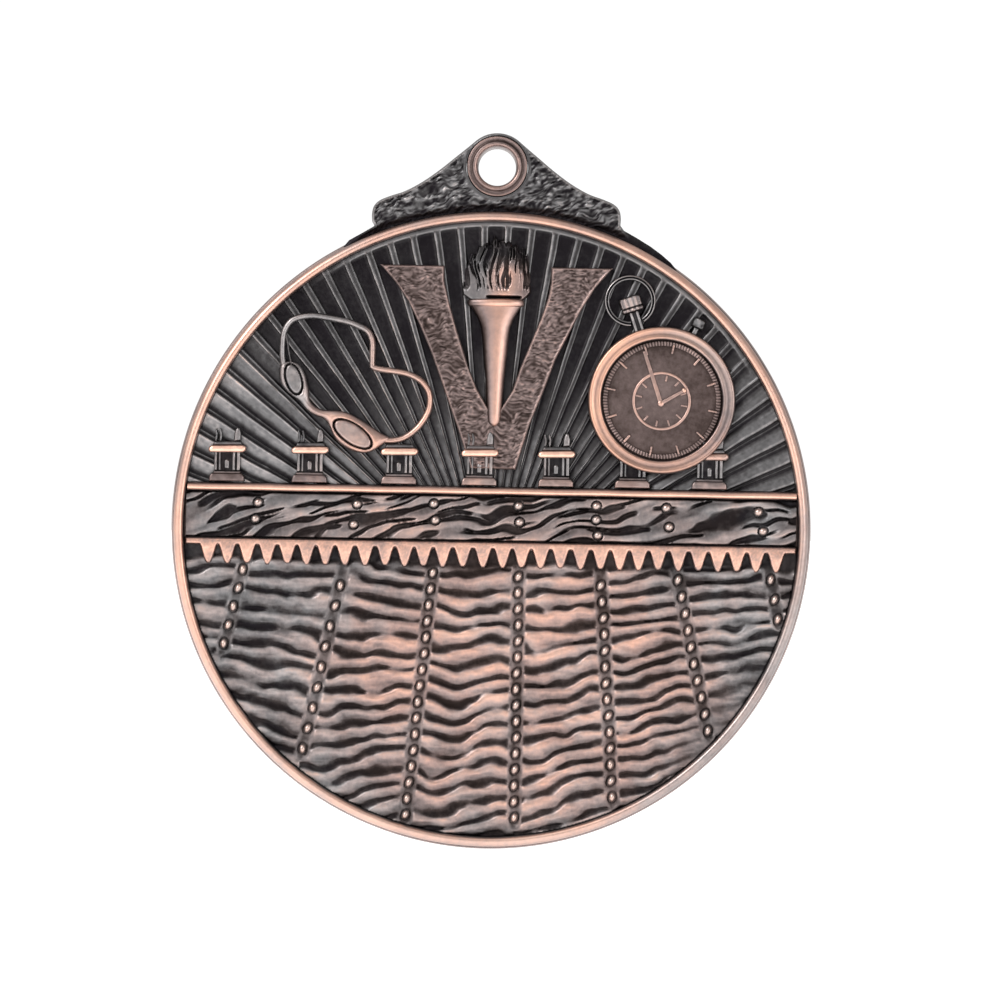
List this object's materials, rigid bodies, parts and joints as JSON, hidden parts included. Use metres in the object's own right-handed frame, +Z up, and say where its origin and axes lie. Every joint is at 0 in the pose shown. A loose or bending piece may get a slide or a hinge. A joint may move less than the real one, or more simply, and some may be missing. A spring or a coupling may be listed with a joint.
{
  "type": "sports finisher medal",
  "caption": "Round cast medal with a suspension loop and a swimming relief: pool lanes, starting blocks, goggles, torch and stopwatch, in antique copper.",
  "frame": {"origin": "centre of the hanging hole in the suspension loop, at mid thickness", "axes": "+Z up along the medal's long axis from the disc to the loop; the relief face looks along -Y and the plain back along +Y; +X to the right seen from the front"},
  "size_m": [0.052, 0.003, 0.058],
  "materials": {
    "antique_copper": "antique copper plating, rubbed bright on the high points, satin",
    "rubbed_bronze": "half-rubbed brown copper patina, satin",
    "dark_patina": "near-black oxidised copper, ridges rubbed grey",
    "water_patina": "black patina in the troughs, crests rubbed to grey-pink copper"
  },
  "bodies": {
    "root": {"eyelet_ring": "rubbed_bronze", "far_lane_rope_1": "antique_copper", "far_lane_rope_2": "antique_copper", "far_lane_rope_3": "antique_copper", "far_lane_rope_4": "antique_copper", "far_lane_rope_5": "antique_copper", "far_lane_rope_6": "antique_copper", "far_lane_rope_7": "antique_copper", "far_water": "water_patina", "goggles_frame": "antique_copper", "goggles_lens_left": "rubbed_bronze", "goggles_lens_right": "rubbed_bronze", "goggles_strap": "antique_copper", "medal_disc": "antique_copper", "near_lane_rope_1": "antique_copper", "near_lane_rope_2": "antique_copper", "near_lane_rope_3": "antique_copper", "near_lane_rope_4": "antique_copper", "near_lane_rope_5": "antique_copper", "near_lane_rope_6": "antique_copper", "near_lane_rope_7": "antique_copper", "near_water": "water_patina", "pennant_string": "antique_copper", "pool_ledge": "antique_copper", "rim_ring": "antique_copper", "starting_block_1": "antique_copper", "starting_block_2": "antique_copper", "starting_block_3": "antique_copper", "starting_block_4": "antique_copper", "starting_block_5": "antique_copper", "starting_block_6": "antique_copper", "starting_block_7": "antique_copper", "stopwatch_bezel": "antique_copper", "stopwatch_bow": "rubbed_bronze", "stopwatch_case": "antique_copper", "stopwatch_crown": "antique_copper", "stopwatch_dial": "rubbed_bronze", "stopwatch_long_hand": "antique_copper", "stopwatch_short_hand": "antique_copper", "stopwatch_side_button": "rubbed_bronze", "stopwatch_stem": "antique_copper", "stopwatch_subdial_ring": "antique_copper", "sunburst_panel": "dark_patina", "suspension_lug": "dark_patina", "torch_cup": "antique_copper", "torch_flame": "rubbed_bronze", "torch_handle": "antique_copper", "v_band_left": "rubbed_bronze", "v_band_right": "rubbed_bronze"}
  },
  "joints": []
}
